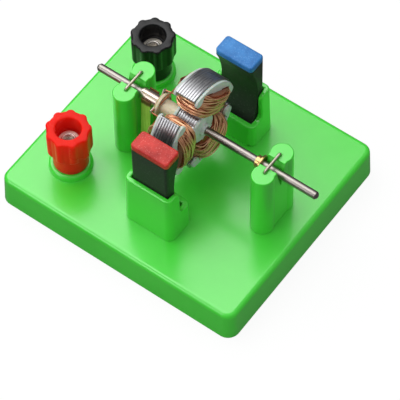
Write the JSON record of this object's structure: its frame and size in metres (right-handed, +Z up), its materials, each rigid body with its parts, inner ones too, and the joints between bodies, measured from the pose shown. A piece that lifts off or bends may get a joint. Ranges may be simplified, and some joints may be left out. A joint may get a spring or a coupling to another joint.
{
  "type": "demonstration electric motor",
  "caption": "Demonstration electric motor: a wound rotor on a steel shaft turns between two arc magnets on a moulded green base, fed by spring brushes and screw terminals.",
  "frame": {"origin": "middle of the footprint, on the floor under the base's rim", "axes": "+X along the shaft from the commutator end to the free end; +Y from the red-capped magnet to the blue-capped one; +Z up"},
  "size_m": [0.1146, 0.096, 0.0645],
  "materials": {
    "base_green": "glossy moulded plastic",
    "magnet_dark": "matt sintered magnet",
    "cap_red": "glossy red paint",
    "cap_blue": "glossy blue paint",
    "bright_wire": "bright drawn wire",
    "shaft_steel": "ground steel",
    "brass": "turned brass",
    "lamination_steel": "stamped sheet edges",
    "end_plate_grey": "matt fibre sheet",
    "copper_wire": "enamelled copper wire",
    "hub_cream": "translucent moulded plastic",
    "fibre_tan": "translucent fibre",
    "commutator_copper": "bright worn copper",
    "brush_bronze": "springy bronze strip",
    "plated_steel": "plated fastener",
    "socket_nickel": "nickel plated brass",
    "insert_brass": "brass insert",
    "knob_red": "glossy red plastic",
    "knob_black": "glossy black plastic"
  },
  "bodies": {
    "base": {"base": "base_green", "left_support": "base_green", "right_support": "base_green", "front_magnet_holder": "base_green", "back_magnet_holder": "base_green", "front_brush_foot": "brush_bronze", "back_brush_foot": "brush_bronze", "front_contact_strip": "brass", "back_contact_strip": "brass", "brush_screws": "plated_steel", "front_socket_post": "socket_nickel", "back_socket_post": "socket_nickel", "terminal_washers": "plated_steel", "terminal_nuts": "plated_steel"},
    "rotor": {"shaft": "shaft_steel", "thrust_collar": "brass", "rotor_core": "lamination_steel", "inner_end_plate": "end_plate_grey", "outer_end_plate": "end_plate_grey", "coil_1": "copper_wire", "coil_2": "copper_wire", "coil_3": "copper_wire", "outer_turns_1": "copper_wire", "outer_turns_2": "copper_wire", "outer_turns_3": "copper_wire", "commutator_hub": "hub_cream", "fibre_washer": "fibre_tan", "commutator_segment_1": "commutator_copper", "commutator_segment_2": "commutator_copper", "commutator_segment_3": "commutator_copper"},
    "front_magnet_piece": {"front_magnet": "magnet_dark", "front_magnet_cap": "cap_red"},
    "back_magnet_piece": {"back_magnet": "magnet_dark", "back_magnet_cap": "cap_blue"},
    "left_clip": {"left_shaft_clip": "bright_wire"},
    "right_clip": {"right_shaft_clip": "bright_wire"},
    "front_blade": {"front_brush": "brush_bronze"},
    "back_blade": {"back_brush": "brush_bronze"},
    "front_insert": {"front_threaded_insert": "insert_brass"},
    "front_knob": {"front_terminal_knob": "knob_red"},
    "back_insert": {"back_threaded_insert": "insert_brass"},
    "back_knob": {"back_terminal_knob": "knob_black"}
  },
  "joints": [
    {"name": "rotor_spin", "type": "hinge", "parent": "base", "child": "rotor", "pos_m": [0, 0, 0.044], "axis": [1, 0, 0], "continuous": true},
    {"name": "front_magnet_lift", "type": "slide", "parent": "base", "child": "front_magnet_piece", "axis": [0, 0, 1], "range_m": [0, 0.018]},
    {"name": "back_magnet_lift", "type": "slide", "parent": "base", "child": "back_magnet_piece", "axis": [0, 0, 1], "range_m": [0, 0.018]},
    {"name": "left_clip_pull", "type": "slide", "parent": "base", "child": "left_clip", "axis": [0, 0, 1], "range_m": [0, 0.007]},
    {"name": "right_clip_pull", "type": "slide", "parent": "base", "child": "right_clip", "axis": [0, 0, 1], "range_m": [0, 0.007]},
    {"name": "front_brush_flex", "type": "hinge", "parent": "base", "child": "front_blade", "pos_m": [-0.01905, -0.00559, 0.01045], "axis": [1, 0, 0], "range_deg": [0, 4], "stiffness_Nm_per_rad": 0.1},
    {"name": "back_brush_flex", "type": "hinge", "parent": "base", "child": "back_blade", "pos_m": [-0.01905, 0.00559, 0.01045], "axis": [-1, 0, 0], "range_deg": [0, 4], "stiffness_Nm_per_rad": 0.1},
    {"name": "front_knob_rise", "type": "slide", "parent": "base", "child": "front_insert", "axis": [0, 0, 1], "range_m": [0, 0.006]},
    {"name": "front_knob_turn", "type": "hinge", "parent": "front_insert", "child": "front_knob", "pos_m": [-0.038, -0.0266, 0.0175], "axis": [0, 0, 1], "range_deg": [0, 2160]},
    {"name": "back_knob_rise", "type": "slide", "parent": "base", "child": "back_insert", "axis": [0, 0, 1], "range_m": [0, 0.006]},
    {"name": "back_knob_turn", "type": "hinge", "parent": "back_insert", "child": "back_knob", "pos_m": [-0.038, 0.0266, 0.0175], "axis": [0, 0, 1], "range_deg": [0, 2160]}
  ],
  "couplings": [
    {"joint": "front_knob_turn", "follows": "front_knob_rise", "rad_per_m": 6283},
    {"joint": "back_knob_turn", "follows": "back_knob_rise", "rad_per_m": 6283}
  ]
}
